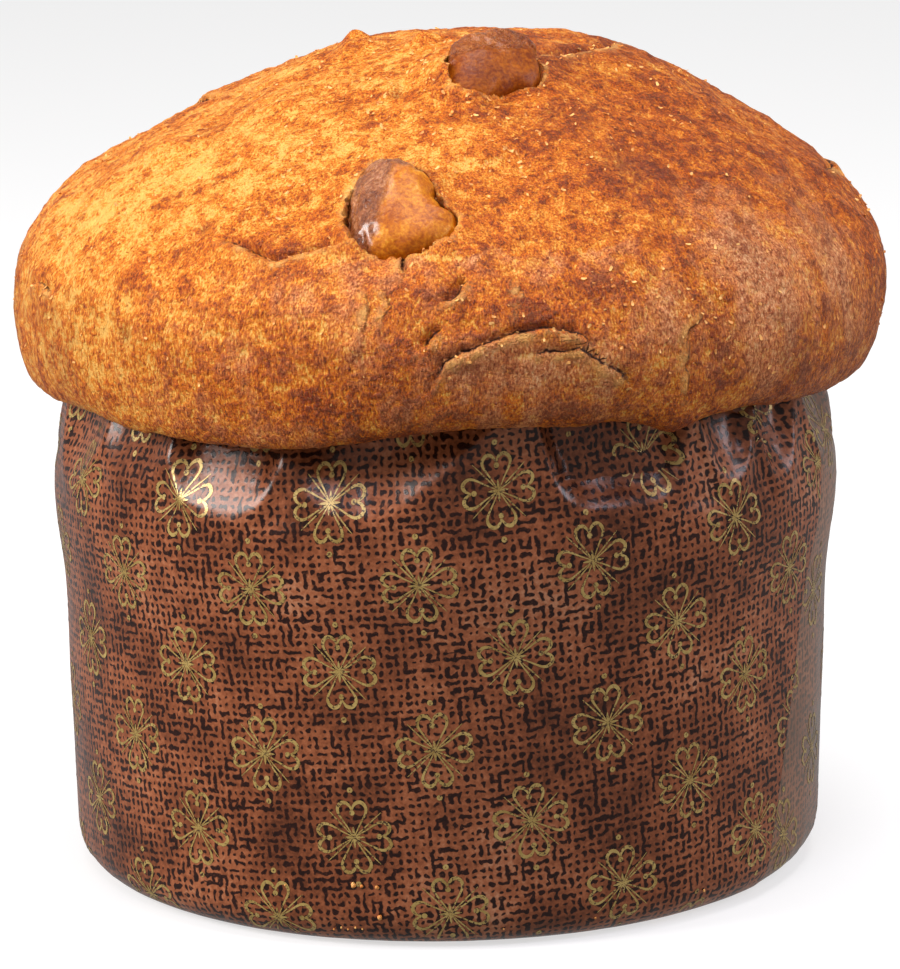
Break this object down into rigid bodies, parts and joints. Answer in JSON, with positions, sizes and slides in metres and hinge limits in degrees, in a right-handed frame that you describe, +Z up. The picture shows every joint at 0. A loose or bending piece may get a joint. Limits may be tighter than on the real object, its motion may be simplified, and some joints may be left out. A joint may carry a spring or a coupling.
{
  "type": "panettone",
  "caption": "Domed sweet bread with a golden brown mushroom cap and blocks of candied orange peel, standing in its dark printed paper baking case.",
  "frame": {"origin": "middle of the paper case's flat base, on the surface the loaf stands on", "axes": "+Z up through the dome, -Y towards the side with the large block of candied peel, +X towards the lap seam of the paper case"},
  "size_m": [0.1953, 0.1958, 0.1908],
  "materials": {
    "crust": "satin",
    "candied_peel": "gloss",
    "printed_paper": "satin",
    "gold_print": "satin",
    "plain_paper": "matte"
  },
  "bodies": {
    "root": {"loaf": "crust", "candied_peel_front": "candied_peel", "candied_peel_top": "candied_peel", "candied_peel_back": "candied_peel", "case_wall": "printed_paper", "case_base": "plain_paper"}
  },
  "joints": []
}
